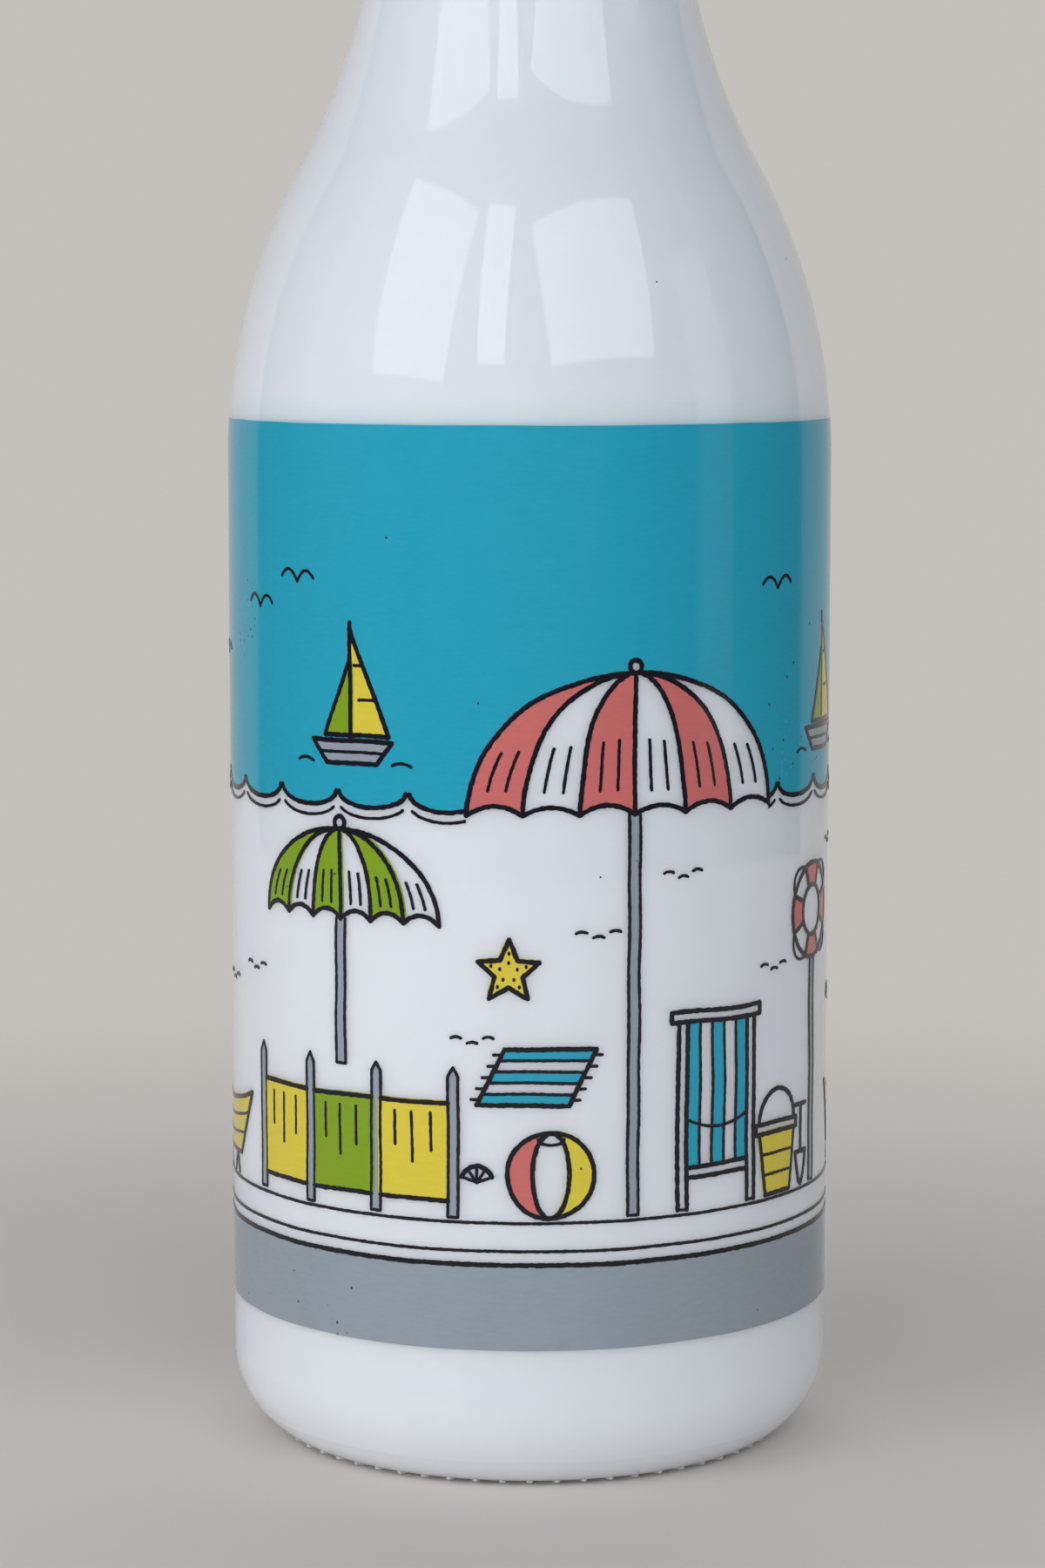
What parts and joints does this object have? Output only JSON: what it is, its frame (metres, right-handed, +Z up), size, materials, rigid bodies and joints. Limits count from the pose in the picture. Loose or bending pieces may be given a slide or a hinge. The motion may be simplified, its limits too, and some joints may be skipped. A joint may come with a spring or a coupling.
{
  "type": "milk bottle",
  "caption": "White opal glass milk bottle with a round heel and ogee shoulder, fired enamel beach print, and a press-on cap that lifts off.",
  "frame": {"origin": "on the bottle's axis, at the level of the bearing ring that it stands on", "axes": "+Z up the bottle's axis, -Y towards the middle of the first picture, +X to that picture's right"},
  "size_m": [0.0902, 0.0902, 0.259],
  "materials": {
    "opal_glass": "glossy",
    "cap_plastic": "satin",
    "liner_rubber": "matte",
    "turquoise_enamel": "glossy",
    "grey_enamel": "glossy",
    "coral_enamel": "glossy",
    "yellow_enamel": "glossy",
    "green_enamel": "glossy",
    "black_enamel": "glossy"
  },
  "bodies": {
    "bottle": {"glass_body": "opal_glass", "glass_neck": "opal_glass", "turquoise_enamel": "turquoise_enamel", "grey_enamel": "grey_enamel", "coral_enamel": "coral_enamel", "yellow_enamel": "yellow_enamel", "green_enamel": "green_enamel", "black_enamel": "black_enamel"},
    "liner": {"cap_liner": "liner_rubber"},
    "cap": {"cap_shell": "cap_plastic"}
  },
  "joints": [
    {"name": "cap_lift", "type": "slide", "parent": "bottle", "child": "liner", "axis": [0, 0, 1], "range_m": [0, 0.04]},
    {"name": "cap_turn", "type": "hinge", "parent": "liner", "child": "cap", "pos_m": [0, 0, 0.256], "axis": [0, 0, 1], "continuous": true}
  ]
}
